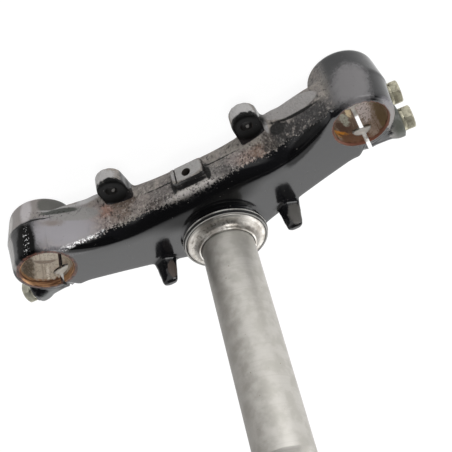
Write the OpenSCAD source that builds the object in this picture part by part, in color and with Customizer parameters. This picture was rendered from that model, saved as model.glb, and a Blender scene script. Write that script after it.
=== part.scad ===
// Motorcycle lower triple clamp with its pressed-in steering stem.
// Millimetres. Origin on the stem axis, in the plane of the yoke's machined top face.
// +Z runs up the stem, -Y points to the front wheel, +X to the rider's left.

/* [Fork clamps] */
// Distance between the two fork leg axes
fork_spacing = 188; // [180:1:200]
// Distance of the fork leg axes in front of the stem axis
fork_offset = 35.3; // [33:0.1:38]
// Diameter of a fork leg bore
fork_bore_d = 28.8; // [27:0.1:30]
// Wall of a clamp barrel around its bore, at the top and the bottom
barrel_wall = 4.2; // [4:0.1:5]
// Draft of the barrel's casting, from either end out to the parting line
barrel_draft = 1.6; // [1:0.1:2]
// Height of a clamp barrel
barrel_h = 38.5; // [36:0.5:42]
// Depth of the parting line below the top face
parting_z = 18.5; // [17:0.5:20]
// Rounding of a barrel's top outer edge
barrel_top_round = 2.3; // [2:0.1:2.6]
// Rounding of a barrel's bottom outer edge
barrel_foot_round = 2.6; // [1:0.1:2.8]
// Step in the casting at the parting line
parting_step = 0.4; // [0.2:0.1:0.8]
// Depth of the turned chamfer at each end of a bore
bore_chamfer = 0.8; // [0.4:0.1:1.2]
// Width of the saw cut through each clamp
slit_w = 2.2; // [1.6:0.1:3]
// Distance of the saw cut from the bore axis, towards the stem
slit_inset = 0.8; // [0:0.1:1.5]

/* [Pinch bolts] */
// Thread diameter of a pinch bolt
bolt_d = 8; // [7:0.5:8]
// Width across flats of a bolt head
bolt_head_af = 12; // [11:0.5:13]
// Height of a bolt head
bolt_head_h = 4.6; // [4.4:0.1:6]
// Length of a bolt under its head
bolt_len = 38; // [34:1:40]
// Radial play of a bolt in the ear's clearance hole
bolt_play = 1.1; // [0.5:0.1:1.2]
// Gap between a bolt's shank and the fork leg bore
bolt_to_bore = 0.1; // [0.1:0.05:0.5]
// Angle by which a bolt's head end leans to the rear
bolt_tilt = 4.5; // [3:0.5:8]
// Depth of the upper bolt's axis below the top face
bolt_inset = 8.7; // [8:0.1:9.5]
// Height of the lower bolt's axis above the barrel's foot
bolt_foot_inset = 9.8; // [9:0.1:11]
// Distance from the bolt's nearest point to the fork leg out to the ear's seat
ear_reach = 21; // [19:0.5:24]
// Radius of the ear round a bolt, beside the saw cut
ear_r = 7.5; // [6.5:0.1:8]
// Radius of the round boss under a bolt head
ear_boss_r = 8.8; // [8.5:0.1:9.5]
// Length of the round boss under a bolt head
ear_boss_len = 4.5; // [3:0.5:6]
// Length of the cone from the ear up to that boss
ear_cone_len = 3.5; // [2:0.5:6]
// Reach of the threaded lug on the stem side of the saw cut
lug_reach = 19; // [17:0.5:20]
// Rounding of the arm's rear corner beside the lug
shoulder_r = 6; // [3:0.5:8]
// Distance of that corner from the fork leg's axis, towards the stem
shoulder_x = 4.4; // [3.5:0.1:8]
// Thickness of a spring washer
washer_h = 1.7; // [1.4:0.1:2.2]
// Width of a spring washer's ring
washer_ring = 2.2; // [1.8:0.1:2.5]

/* [Arms] */
// Distance from the fork leg axis to the end of the arm's loft, inside the barrel
arm_tuck = 11; // [8:0.5:13]
// Depth of the arms below the top face
arm_depth = 26; // [23:0.5:29]
// Distance of the flat top's front edge from the stem axis, at the middle
front_flat = 29.5; // [28:0.5:32]
// Distance from the middle at which the front edge starts to sweep forward
sweep_start = 33; // [28:1:36]
// Radius of the front edge's forward sweep
sweep_r = 72; // [70:1:85]
// Distance of the front wall's foot from the stem axis, at the middle
front_foot = 40.2; // [38:0.5:43]
// How much further forward that foot is beside a clamp
foot_sweep = 12.6; // [10:0.2:14]
// How far the wall's foot swells forward beside a front boss
foot_swell = 2.4; // [1:0.2:3]
// Rounding of the top front edge at the middle
edge_round_mid = 10; // [7:0.5:11]
// Rounding of the top front edge beside a clamp
edge_round_end = 3; // [2:0.5:4]
// Rounding of the front wall's lower edge at the middle
foot_round_mid = 4.5; // [3:0.5:6]
// Rounding of the front wall's lower edge beside a clamp
foot_round_end = 2.5; // [2:0.5:4]
// Rounding of the top rear edge
rear_top_round = 1.6; // [1:0.1:2.5]
// Rounding of the lower rear edge
rear_foot_round = 3; // [2:0.5:5]
// Rear edge behind the stem axis, drawn on through the hub
rear_mid = 17.2; // [15:0.5:20]
// Rear edge in front of the stem axis, beside a clamp
rear_end = 11.8; // [10:0.2:13]
// How far the rear edge bows in between hub and clamp
rear_bow = 1.7; // [0:0.1:3]
// Top thickness left over the underside pockets
pocket_roof = 11; // [8:0.5:14]
// Wall left around the underside pockets
pocket_wall = 7; // [5:0.5:9]

/* [Hub] */
// Height of the raised seat for the lower bearing
seat_h = 2.4; // [1.5:0.1:3]
// Outer radius of the raised seat
seat_r = 23.4; // [23:0.1:24]
// Rounding at the foot of the raised seat
seat_round = 0.6; // [0.4:0.1:1]

/* [Front bosses and tab] */
// Distance of each front boss from the middle
boss_x = 40.4; // [38:0.2:43]
// Distance of the boss axes in front of the stem axis
boss_y = 53.6; // [52:0.2:56]
// Radius of a front boss
boss_r = 7.7; // [7:0.1:8.5]
// Depth of the bosses' top face below the yoke's top face
boss_drop = 16; // [14:0.5:17]
// Height of a front boss
boss_h = 10.5; // [9:0.5:12]
// Diameter of a boss's tapped hole
boss_hole_d = 6.6; // [5:0.1:7]
// Width of the middle tab
tab_w = 18.6; // [16:0.2:21]
// Height of the middle tab
tab_h = 10.4; // [9:0.2:12]
// Depth of the tab's top edge below the yoke's top face
tab_drop = 9.8; // [9:0.2:12]
// Distance of the tab's face in front of the stem axis
tab_y = 44.8; // [43.5:0.1:47]
// Diameter of the tab's tapped hole
tab_hole_d = 5; // [4:0.1:6]
// Depth of the tab's tapped hole
tab_hole_depth = 12; // [10:0.5:15]
// Width of the groove that sets off the tab's end strip
tab_groove_w = 0.9; // [0.6:0.1:1.4]
// Width of the tab's end strip
tab_strip_w = 2.4; // [2:0.1:3]

/* [Steering stops] */
// Distance of each stop's front ridge from the middle
stop_x = 38.1; // [36:0.1:40]
// Sideways error of the casting: both stops sit this far to the right
stop_shift = 0.8; // [0:0.1:1]
// Height of a steering stop above the top face
stop_h = 15.8; // [14:0.2:18]
// Depth to which a stop's foot runs down the rear wall
stop_foot = 14; // [10:0.5:18]
// Width of a stop at its foot
stop_root_w = 13.4; // [12:0.2:15]
// Width of a stop at its tip
stop_tip_w = 9.2; // [7:0.2:10]
// Share of a stop's width that lies outboard of its ridge
stop_ridge_share = 0.54; // [0.5:0.01:0.6]
// Distance of the foot's ridge in front of the stem axis
stop_root_y = 4.2; // [3:0.2:5]
// Distance of the tip's ridge in front of the stem axis
stop_tip_y = 1.6; // [0.8:0.2:3]
// Depth of a stop from front ridge to rear face at its foot
stop_root_deep = 10; // [8:0.5:12]
// Depth of a stop from front ridge to rear face at its tip
stop_tip_deep = 5; // [4:0.5:7]
// Rounding of a stop's corners
stop_round = 1.2; // [0.8:0.1:1.4]

/* [Steering stem] */
// Diameter of the stem at the lower bearing
stem_d = 30; // [29:0.1:31]
// Bore of the tubular stem
stem_bore_d = 21; // [18:0.5:23]
// Height of the main tube above the top face
stem_main_h = 138; // [120:1:160]
// Diameter of the upper bearing seat and thread
stem_top_d = 26; // [24:0.1:27]
// Length of the upper bearing seat
stem_seat_len = 15; // [10:1:20]
// Width of the relief groove under the thread
relief_w = 2.5; // [2:0.1:3]
// Depth of the relief groove under the thread
relief_depth = 1; // [0.6:0.1:1.4]
// Length of the thread for the bearing nut
stem_thread_len = 22; // [16:1:30]
// Length of the cone between main tube and upper seat
stem_cone_len = 3; // [2:0.5:5]
// Chamfer at the stem's ends
stem_chamfer = 1; // [0.5:0.1:1.5]
// Depth of the stem's lower end inside the hub
stem_recess = 2; // [1:0.5:4]

/* [Lower bearing and seal] */
// Outer radius of the seal washer
seal_washer_r = 24.3; // [24:0.1:25]
// Thickness of the seal washer
seal_washer_h = 0.8; // [0.6:0.1:1]
// Radius of the rubber seal's upper lip
seal_lip_r = 23.9; // [23.6:0.1:24]
// Height of the rubber seal
seal_h = 1.9; // [1.6:0.1:2.1]
// Radius of the groove round the rubber seal
seal_groove_r = 22.9; // [22.6:0.1:23.3]
// Height of the bearing race above its seat
race_h = 6.9; // [6:0.1:8]
// Outer radius of the race's flange
race_flange_r = 22.5; // [22:0.1:22.6]
// Height of the race's flange above its seat
race_flange_h = 2.4; // [2.2:0.1:2.8]
// Outer radius of the ball track
track_outer_r = 20.4; // [19.8:0.1:21]
// Inner radius of the ball track, at the top lip
track_inner_r = 16.5; // [16:0.1:17]
// Radial play between race flange and rubber seal
seal_play = 0.3; // [0.1:0.05:0.3]

/* [Hidden] */

paint = [0.1, 0.1, 0.11];
bare_steel = [0.68, 0.67, 0.65];
race_steel = [0.75, 0.74, 0.71];
rubber = [0.05, 0.05, 0.05];
zinc = [0.62, 0.61, 0.52];

// Roundness of the turned parts, and of hulled corners
turn_fn = 96;
hull_fn = 16;
// A cut runs this far past the face it opens
past = 1;

left = 1;
right = -1;
upper = 0;
lower = 1;

clamp_x = fork_spacing / 2;
bore_r = fork_bore_d / 2;
barrel_r = bore_r + barrel_wall;
bolt_r = bolt_d / 2;
bolt_hole_r = bolt_r + bolt_play;
bolt_dist = bore_r + bolt_to_bore + bolt_r;
lower_bolt_z = bolt_foot_inset - barrel_h;
bolt_spacing = -bolt_inset - lower_bolt_z;
hub_r = seat_r + seat_round;
arm_end = clamp_x - arm_tuck;
shoulder_len = arm_tuck + past - shoulder_x;
shoulder_deep = 12;
seat_top = seat_h + seal_washer_h;
stem_r = stem_d / 2;
stem_top_r = stem_top_d / 2;

function smooth(t) = let (u = min(1, max(0, t))) u * u * (3 - 2 * u);

// Plan of the arms: distances in front of (or behind) the stem axis at |x|
function flat_front(x) = front_flat
    + (x > sweep_start ? sweep_r - sqrt(pow(sweep_r, 2) - pow(x - sweep_start, 2)) : 0);
function foot_front(x) = front_foot + foot_sweep * smooth((x - 12) / (arm_end - 3))
    + foot_swell * smooth((boss_x + boss_r + 12 - x) / 10) * smooth((x - boss_x) / boss_r);
function rear_edge(x) = let (t = x / arm_end)
    rear_mid - (rear_mid + rear_end) * t - rear_bow * sin(180 * min(1, t));
function edge_round(x) = edge_round_mid
    - (edge_round_mid - edge_round_end) * smooth((x - 20) / 40);
function foot_round(x) = foot_round_mid
    - (foot_round_mid - foot_round_end) * smooth((x - 35) / 30);

function arc_points(cx, cz, r, a0, a1, steps) =
    [for (i = [0 : steps]) let (a = a0 + (a1 - a0) * i / steps) [cx + r * cos(a), cz + r * sin(a)]];

// Section of an arm at x, as [distance in front of the stem axis, z] pairs:
// rounded top front edge, sloping front wall, rounded foot, flat bottom, rear wall.
function arm_section(x) = let (
    r1 = edge_round(x),
    c1 = [flat_front(x), -r1],
    r2 = foot_round(x),
    c2 = [foot_front(x) - r2, r2 - arm_depth],
    d = c2 - c1,
    wall = atan2(d[1], d[0]) + acos((r1 - r2) / norm(d)),
    back = -rear_edge(x)
) concat(
    arc_points(c1[0], c1[1], r1, 90, wall, 6),
    [for (i = [1 : 3]) let (n = [cos(wall), sin(wall)]) (c1 + r1 * n) * (1 - i / 4) + (c2 + r2 * n) * i / 4],
    arc_points(c2[0], c2[1], r2, wall, -90, 5),
    arc_points(back + rear_foot_round, rear_foot_round - arm_depth, rear_foot_round, -90, -180, 3),
    arc_points(back + rear_top_round, -rear_top_round, rear_top_round, 180, 90, 3)
);

arm_stations = 34;

// Both arms and the web between them, lofted through the sections from end to end
module arm_loft() {
    xs = [for (i = [0 : arm_stations]) arm_end * (2 * i / arm_stations - 1)];
    rings = [for (x = xs) [for (p = arm_section(abs(x))) [x, -p[0], p[1]]]];
    n = len(rings[0]);
    last = len(rings) - 1;
    points = [for (ring = rings) for (p = ring) p];
    sides = [for (i = [0 : last - 1]) for (j = [0 : n - 1]) let (k = (j + 1) % n)
        each [[i * n + j, (i + 1) * n + j, (i + 1) * n + k], [i * n + j, (i + 1) * n + k, i * n + k]]];
    caps = [[for (j = [0 : n - 1]) j], [for (j = [n - 1 : -1 : 0]) last * n + j]];
    polyhedron(points = points, faces = concat(sides, caps), convexity = 4);
}

// Puts its children at a clamp: z axis along the fork leg, x axis outboard
module at_clamp(side) {
    translate([side * clamp_x, -fork_offset, 0]) mirror([side == right ? 1 : 0, 0, 0]) children();
}

// Puts its children on a pinch bolt: z axis along the bolt towards its head
module at_bolt(side, level) {
    at_clamp(side)
        rotate([0, 0, bolt_tilt])
            translate([0, bolt_dist, level == upper ? -bolt_inset : lower_bolt_z])
                rotate([0, 90, 0]) children();
}

// Barrel with draft to both ends, and the parting line's step
module barrel() {
    mid_r = barrel_r + barrel_draft;
    rotate_extrude($fn = turn_fn) polygon(concat(
        [[0, 0]],
        arc_points(barrel_r - barrel_top_round, -barrel_top_round, barrel_top_round, 90, 0, 6),
        [[mid_r, -parting_z], [mid_r + parting_step, -parting_z - parting_step]],
        arc_points(barrel_r - barrel_foot_round, barrel_foot_round - barrel_h, barrel_foot_round, 0, -90, 4),
        [[0, -barrel_h]]
    ));
}

// Ear outboard of the saw cut with a boss under each head, and threaded lug inboard of it
module clamp_ears(side) {
    for (level = [upper, lower]) at_bolt(side, level) {
        translate([0, 0, -lug_reach]) cylinder(r = ear_r, h = lug_reach + ear_reach - past, $fn = turn_fn);
        translate([0, 0, ear_reach - ear_boss_len]) cylinder(r = ear_boss_r, h = ear_boss_len, $fn = turn_fn);
        translate([0, 0, ear_reach - ear_boss_len - ear_cone_len])
            cylinder(r1 = ear_r, r2 = ear_boss_r, h = ear_cone_len, $fn = turn_fn);
    }
    at_clamp(side) rotate([0, 0, bolt_tilt])
        translate([-lug_reach, bolt_dist - ear_r, lower_bolt_z])
            cube([lug_reach + ear_reach - past, 2 * ear_r, bolt_spacing]);
    // Shoulder of the arm's rear edge beside the saw cut, with its corner rounded
    at_clamp(side) translate([-shoulder_x, fork_offset - rear_end, -arm_depth]) {
        translate([-shoulder_len, -shoulder_deep, 0]) cube([shoulder_len - shoulder_r, shoulder_deep, arm_depth]);
        translate([-shoulder_r, -shoulder_deep, 0]) cube([shoulder_r, shoulder_deep - shoulder_r, arm_depth]);
        translate([-shoulder_r, -shoulder_r, 0]) cylinder(r = shoulder_r, h = arm_depth, $fn = turn_fn);
    }
}

module clamp_cuts(side) {
    at_clamp(side) {
        translate([0, 0, -barrel_h - past]) cylinder(r = bore_r, h = barrel_h + 2 * past, $fn = turn_fn);
        translate([0, 0, -bore_chamfer]) cylinder(r1 = bore_r, r2 = bore_r + bore_chamfer + 0.01, h = bore_chamfer + 0.01, $fn = turn_fn);
        translate([0, 0, -barrel_h - 0.01]) cylinder(r2 = bore_r, r1 = bore_r + bore_chamfer + 0.01, h = bore_chamfer + 0.01, $fn = turn_fn);
        translate([-slit_inset - slit_w / 2, 0, -barrel_h - past]) cube([slit_w, barrel_r + 2 * ear_r, barrel_h + 2 * past]);
    }
    for (level = [upper, lower]) at_bolt(side, level) {
        translate([0, 0, -bolt_hole_r - 2]) cylinder(r = bolt_hole_r, h = ear_reach + bolt_hole_r + 2 + past, $fn = turn_fn);
        translate([0, 0, ear_reach - bolt_len - past]) cylinder(r = bolt_r, h = bolt_len, $fn = turn_fn);
    }
}

module hub() {
    translate([0, 0, -barrel_h]) cylinder(r = hub_r, h = barrel_h, $fn = turn_fn);
    rotate_extrude($fn = turn_fn) polygon(concat(
        [[0, 0], [seat_r + seat_round, 0]],
        [for (i = [1 : 4]) let (a = 270 - 90 * i / 4)
            [seat_r + seat_round + seat_round * cos(a), seat_round + seat_round * sin(a)]],
        [[seat_r, seat_h], [0, seat_h]]
    ));
}

module front_boss(side) {
    root = foot_front(boss_x) - foot_round(boss_x);
    mirror([side == right ? 1 : 0, 0, 0]) translate([boss_x, 0, -boss_drop - boss_h]) {
        translate([0, -boss_y, 0]) cylinder(r = boss_r, h = boss_h, $fn = turn_fn);
        translate([-boss_r, -boss_y, 0]) cube([2 * boss_r, boss_y - root, boss_h]);
    }
}

module front_tab() {
    root = front_foot - foot_round_mid;
    translate([-tab_w / 2, -tab_y, -tab_drop - tab_h]) cube([tab_w, tab_y - root, tab_h]);
}

module front_tab_cuts() {
    translate([0, -tab_y - past, -tab_drop - tab_h / 2 + 1.4])
        rotate([-90, 0, 0]) cylinder(r = tab_hole_d / 2, h = tab_hole_depth + past, $fn = turn_fn);
    translate([tab_w / 2 - tab_strip_w - tab_groove_w, -tab_y - past, -tab_drop - tab_h - past])
        cube([tab_groove_w, 2.2 + past, tab_h + 2 * past]);
}

// Outline of a stop, a wedge with its ridge to the front, inset by in from width and depth
module stop_slab(w, front, deep, in, h) {
    r = stop_round;
    out = stop_ridge_share * w - r - in;
    inner = (1 - stop_ridge_share) * w - r - in;
    y0 = r + in - front;
    y1 = deep - front - r - in;
    ym = y0 + 0.42 * (y1 - y0);
    for (p = [[0, y0], [out, ym], [-inner, ym], [0.55 * out, y1], [-0.55 * inner, y1]])
        translate([p[0], p[1], 0]) cylinder(r = r, h = h, $fn = hull_fn);
}

module steering_stop(side) {
    translate([side * stop_x - stop_shift, 0, 0]) mirror([side == right ? 1 : 0, 0, 0]) hull() {
        translate([0, 0, -stop_foot]) stop_slab(stop_root_w, stop_root_y, stop_root_deep, 1, 1);
        stop_slab(stop_root_w, stop_root_y, stop_root_deep, 0, 0.5);
        translate([0, 0, stop_h - 1.2]) stop_slab(stop_tip_w, stop_tip_y, stop_tip_deep, 0, 0.2);
        translate([0, 0, stop_h - 0.4]) stop_slab(stop_tip_w, stop_tip_y, stop_tip_deep, 0.4, 0.2);
        translate([0, 0, stop_h - 0.1]) stop_slab(stop_tip_w, stop_tip_y, stop_tip_deep, 1, 0.1);
    }
}

// Cast hollow under each arm, between the hub and the threaded lug
module underside_pocket(side) {
    x0 = hub_r + pocket_wall;
    x1 = clamp_x - lug_reach - pocket_wall;
    r = 4;
    mirror([side == right ? 1 : 0, 0, 0]) hull() {
        for (p = [[x0 + r, rear_edge(x0) - pocket_wall - r], [x1 - r, rear_edge(x1) - pocket_wall - r],
                [x1 - r, -flat_front(x1) + r], [x0 + r, -flat_front(x0) + r]])
            translate([p[0], p[1], -arm_depth - past]) cylinder(r1 = r + 0.8, r2 = r, h = arm_depth - pocket_roof + past, $fn = 24);
    }
}

module lower_yoke() {
    color(paint) difference() {
        union() {
            arm_loft();
            hub();
            for (side = [left, right]) {
                at_clamp(side) barrel();
                clamp_ears(side);
                front_boss(side);
                steering_stop(side);
            }
            front_tab();
        }
        translate([0, 0, -barrel_h - past]) cylinder(r = stem_r, h = barrel_h + seat_h + 2 * past, $fn = turn_fn);
        for (side = [left, right]) {
            clamp_cuts(side);
            underside_pocket(side);
            translate([side * boss_x, -boss_y, -boss_drop - boss_h - past])
                cylinder(r = boss_hole_d / 2, h = boss_h + 2 * past, $fn = turn_fn);
        }
        front_tab_cuts();
    }
}

// Tube turned from bar: press seat, main tube, upper seat, relief groove and thread land
module steering_stem() {
    z0 = stem_recess - barrel_h;
    z_seat = stem_main_h + stem_cone_len;
    z_relief = z_seat + stem_seat_len;
    z_thread = z_relief + relief_w;
    z_top = z_thread + stem_thread_len;
    bore = stem_bore_d / 2;
    color(bare_steel) rotate_extrude($fn = turn_fn) polygon([
        [bore, z0], [stem_r - stem_chamfer, z0], [stem_r, z0 + stem_chamfer],
        [stem_r, stem_main_h], [stem_top_r, z_seat], [stem_top_r, z_relief],
        [stem_top_r - relief_depth, z_relief + relief_depth / 2],
        [stem_top_r - relief_depth, z_thread - relief_depth / 2], [stem_top_r, z_thread],
        [stem_top_r, z_top - stem_chamfer], [stem_top_r - stem_chamfer, z_top],
        [bore + stem_chamfer, z_top], [bore, z_top - stem_chamfer]
    ]);
}

module seal_washer() {
    color(bare_steel) difference() {
        translate([0, 0, seat_h]) cylinder(r = seal_washer_r, h = seal_washer_h, $fn = turn_fn);
        translate([0, 0, seat_h - past]) cylinder(r = stem_r, h = seal_washer_h + 2 * past, $fn = turn_fn);
    }
}

// Rubber ring beside the race flange, with a groove under its lip
module dust_seal() {
    z0 = seat_top;
    inner = race_flange_r + seal_play;
    color(rubber) rotate_extrude($fn = turn_fn) polygon([
        [inner - 0.2, z0], [seal_lip_r + 0.3, z0], [seal_lip_r, z0 + 0.3 * seal_h],
        [seal_groove_r + 0.4, z0 + 0.45 * seal_h], [seal_groove_r + 0.4, z0 + 0.6 * seal_h],
        [seal_lip_r, z0 + 0.8 * seal_h], [seal_lip_r - 0.2, z0 + seal_h],
        [inner + 0.2, z0 + seal_h], [inner, z0 + seal_h - 0.3]
    ]);
}

// Lower inner race: flange, concave ball track and top lip
module bearing_race() {
    z0 = seat_top;
    z_track = z0 + race_flange_h + 0.5;
    z_lip = z0 + race_h;
    steps = 10;
    // The track is a quarter ellipse, concave towards the balls
    color(race_steel) rotate_extrude($fn = turn_fn) polygon(concat(
        [[stem_r, z0], [race_flange_r - 0.5, z0], [race_flange_r - 0.3, z0 + 0.4],
            [race_flange_r, z0 + 0.8], [race_flange_r, z0 + race_flange_h - 0.5],
            [race_flange_r - 0.6, z0 + race_flange_h + 0.1], [track_outer_r + 0.3, z_track]],
        [for (i = [0 : steps]) let (a = 90 * i / steps)
            [track_outer_r - (track_outer_r - track_inner_r) * sin(a),
                z_track - 0.2 + (z_lip - 0.3 - z_track) * (1 - cos(a))]],
        [[track_inner_r - 0.2, z_lip], [stem_r + 0.4, z_lip], [stem_r, z_lip - 0.4]]
    ));
}

// Hexagon-head bolt with a chamfered head and a pointed thread end
module clamp_bolt(side, level) {
    seat = ear_reach + washer_h;
    corner_r = bolt_head_af / (2 * cos(30));
    color(zinc) at_bolt(side, level) {
        translate([0, 0, seat - bolt_len]) cylinder(r = bolt_r, h = bolt_len, $fn = turn_fn);
        intersection() {
            translate([0, 0, seat]) rotate([0, 0, 52]) cylinder(r = corner_r, h = bolt_head_h, $fn = 6);
            translate([0, 0, seat]) cylinder(r1 = corner_r + bolt_head_h, r2 = bolt_head_af / 2 - 0.3, h = bolt_head_h, $fn = turn_fn);
        }
    }
}

// Split spring washer under a bolt head
module spring_washer(side, level) {
    color(zinc) at_bolt(side, level) translate([0, 0, ear_reach]) difference() {
        cylinder(r = bolt_r + washer_ring, h = washer_h, $fn = turn_fn);
        translate([0, 0, -past]) cylinder(r = bolt_r + 0.15, h = washer_h + 2 * past, $fn = turn_fn);
        rotate([0, 0, 200]) rotate([0, 25, 0]) translate([-0.6, 0, -washer_h]) cube([1.2, bolt_r + 2 * washer_ring, 3 * washer_h]);
    }
}

lower_yoke();
steering_stem();
seal_washer();
dust_seal();
bearing_race();
clamp_bolt(left, upper);  // clamp_bolt_left_upper
clamp_bolt(left, lower);  // clamp_bolt_left_lower
clamp_bolt(right, upper);  // clamp_bolt_right_upper
clamp_bolt(right, lower);  // clamp_bolt_right_lower
spring_washer(left, upper);  // spring_washer_left_upper
spring_washer(left, lower);  // spring_washer_left_lower
spring_washer(right, upper);  // spring_washer_right_upper
spring_washer(right, lower);  // spring_washer_right_lower
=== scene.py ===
# Motorcycle triple clamp with its pressed-in steering stem, seen from the front and above.
# Metres, in the CAD frame: origin on the stem axis in the yoke's top face, +Z up the stem,
# -Y to the front wheel, +X to the rider's left. Patterns are worked out in millimetres.
import math

import bpy
from mathutils import Matrix, Vector


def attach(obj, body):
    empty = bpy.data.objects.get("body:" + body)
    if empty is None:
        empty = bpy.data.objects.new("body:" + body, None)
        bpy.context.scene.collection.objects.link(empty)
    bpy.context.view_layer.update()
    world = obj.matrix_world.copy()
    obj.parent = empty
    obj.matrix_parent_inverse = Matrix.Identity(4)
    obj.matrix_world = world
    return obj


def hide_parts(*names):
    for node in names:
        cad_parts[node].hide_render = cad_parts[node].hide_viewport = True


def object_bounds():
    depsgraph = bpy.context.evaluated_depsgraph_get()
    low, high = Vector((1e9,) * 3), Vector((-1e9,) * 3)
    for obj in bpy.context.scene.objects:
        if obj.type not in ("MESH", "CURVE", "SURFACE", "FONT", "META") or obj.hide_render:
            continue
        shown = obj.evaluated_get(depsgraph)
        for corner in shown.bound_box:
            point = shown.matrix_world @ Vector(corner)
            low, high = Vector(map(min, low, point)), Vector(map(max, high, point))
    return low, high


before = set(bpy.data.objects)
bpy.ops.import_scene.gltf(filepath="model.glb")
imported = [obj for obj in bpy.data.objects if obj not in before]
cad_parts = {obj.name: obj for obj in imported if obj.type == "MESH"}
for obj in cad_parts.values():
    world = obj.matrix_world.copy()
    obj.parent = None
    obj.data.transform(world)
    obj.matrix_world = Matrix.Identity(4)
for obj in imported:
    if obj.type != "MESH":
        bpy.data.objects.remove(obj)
cad_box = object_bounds()

bl_info = {
    "name": "Triple clamp dresser",
    "version": (1, 0, 0),
    "blender": (4, 5, 0),
    "location": "View3D > Sidebar > Triple clamp",
    "description": "Dresses a motorcycle triple clamp's CAD model as a used, painted casting",
    "category": "Object",
}

MM = 0.001
PER_M = 1000
SIDES = {"left": 1, "right": -1}
LEVELS = ("upper", "lower")

# The CAD model's sizes that the cutters follow, in millimetres
CLAMP_X, CLAMP_Y = 94.0, -35.3
BORE_R, BARREL_H, CHAMFER = 14.4, 38.5, 0.8
SLIT_W, SLIT_INSET = 2.2, 0.8
BOLT_DIST, BOLT_TILT = 18.5, 4.5
BOLT_Z = {"upper": -8.7, "lower": -28.7}
EAR_REACH, BOLT_HOLE_R, BOLT_R, BOLT_LEN = 21.0, 5.1, 4.0, 38.0
BOSS_X, BOSS_Y, BOSS_HOLE_R = 40.4, -53.6, 3.3
STEM_R, SEAT_H = 15.0, 2.4
TAB_Y, TAB_HOLE_R, TAB_HOLE_Z, TAB_HOLE_DEPTH = -44.8, 2.5, -13.6, 12.0
TAB_GROOVE_X, TAB_GROOVE_W, TAB_GROOVE_DEEP = 6.0, 0.9, 2.2
TAB_TOP_Z, TAB_FOOT_Z = -9.8, -20.2
THREAD_R, THREAD_Z0, THREAD_Z1 = 13.0, 158.5, 180.5

# How far a cutter runs past the face it cuts, and a chamfer's cutter past its own
OVER, CHAMFER_OVER = 1.0, 0.2
# The slit's cutter starts inside the bore and ends clear of the ears, and a bolt's clearance hole
# ends past the slit
SLIT_START, SLIT_END_Y, BOLT_HOLE_PAST = 3.0, 40.0, 2.0
BOSS_CUT_Z = (-28.0, -14.5)
# Plugs close each hole and slit before the cast skin is made, this much wider on each side
PLUG_TIGHT, PLUG_HOLE, PLUG_SLIT, PLUG_BORE = 0.5, 0.6, 0.7, 1.5
# Where they end, so that none shows outside the casting
PLUG_SLIT_FOOT, PLUG_SLIT_TOP, PLUG_SLIT_Y = 3.0, -2.5, 24.0
PLUG_BOLT_Z, PLUG_BOSS_Z, PLUG_GROOVE_DEEP = -17.5, (-26.5, -16.0), 4.0
# The thread's groove: its depth in pitches, its width beside that of an equal-sided V, its facets
THREAD_DEPTH, THREAD_WIDTH, THREAD_STEPS = 0.6, 0.78, 48
# Broken edges: those of the race, seal and washer in mm, and the bolts' as a share of the stem's
RACE_EDGE, BOLT_EDGE_SHARE = 0.12, 0.8
# Radii between which the race's worn track fades in and out, and the painted shade of its crevice at
# the stem
TRACK_INNER, TRACK_OUTER, STEM_GAP_SHADE = (16.2, 16.7), (20.6, 20.0), (15.55, 15.4)
# Edges flatter than these are shaded smooth, or aren't broken
SMOOTH_BELOW, SHARP_ABOVE = math.radians(35), math.radians(30)
# Points of the CAD meshes this close in metres are one point
WELD = 0.00001

# The camera, solved from the photograph: its place in metres and its axes
CAMERA_LENS, SENSOR, CLIP_START = 68.985, 36.0, 0.01
CAMERA_AT = (-0.09735315, -0.37174490, 0.29973818)
CAMERA_RIGHT = (-0.89253016, 0.39989523, 0.20850351)
CAMERA_DOWN = (0.40678809, 0.51424263, 0.75503508)
CAMERA_AHEAD = (0.19471353, 0.75870833, -0.62164967)

# The room: the strength of its soft box and dark gap, and each one's azimuth, half width, lowest
# and highest elevation and softness in degrees. It darkens overhead between two elevations.
SOFT_BOX, SOFT_BOX_PLACE = 2.3, (95, 75, 18, 54, 5)
DARK, DARK_PLACE, DARK_ABOVE = 0.02, (-105, 68, 14, 120, 6), (53, 60)
# The lamps: where the key lamp stands and how far off, where the fill lamp stands, and their
# sizes, in metres
KEY_AZIMUTH, KEY_ELEVATION, KEY_AWAY = math.radians(-130), math.radians(12), 1.1
FILL_AT = (-0.15, -0.60, 1.0)
KEY_SIZE, FILL_SIZE = (0.7, 0.5), (0.5, 0.5)
# The floor: its size and its gap under the object in metres. The camera and the gloss see a share
# of plain white in it, of this strength.
FLOOR_SIZE, FLOOR_GAP = 12, 0.00005
WHITE_SHARE, WHITE = 0.86, 1.08

# Tints of the peeled front wall, each over the last: colour, centre and size in mm, raggedness
BARE_TINTS = (
    ("#857a76", (54, -42, -12), (9, 8, 9), 1.0),
    ("#74665e", (43, -40, -12), (7, 6, 5), 1.5),
    ("#695b51", (37, -40, -13), (6, 6, 4), 1.5),
    ("#86695d", (51, -43, -14.5), (4.5, 5, 3), 1.5),
    ("#7f7772", (29, -39, -10), (8, 5, 6), 1.5),
    ("#67615e", (17, -39, -11), (8, 5, 6), 1.5),
    ("#4c4440", (24, -38, -7.4), (7, 5, 2.2), 2.0),
    ("#55483f", (40, -40, -15.6), (7, 6, 1.6), 2.0),
    ("#716d6a", (-11, -39, -9), (9, 5, 6), 1.5),
    ("#575351", (-21, -39, -9), (6, 5, 5), 1.5),
    ("#7d7471", (-28, -39, -12), (7, 5, 4), 1.5),
    ("#86746c", (-34, -39, -9), (7, 5, 5), 1.2),
    ("#776256", (-41, -39, -9), (6, 5, 5), 1.5),
    ("#4f4843", (-48, -41, -10), (6, 6, 6), 1.5),
    ("#2f2d2c", (-58, -42, -11), (9, 8, 7), 1.2),
    ("#393737", (-74, -46, -7), (15, 9, 9), 1.0),
    ("#b3aeaa", (1, -38, -5.8), (15, 5, 2.2), 2.8),
)
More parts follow.
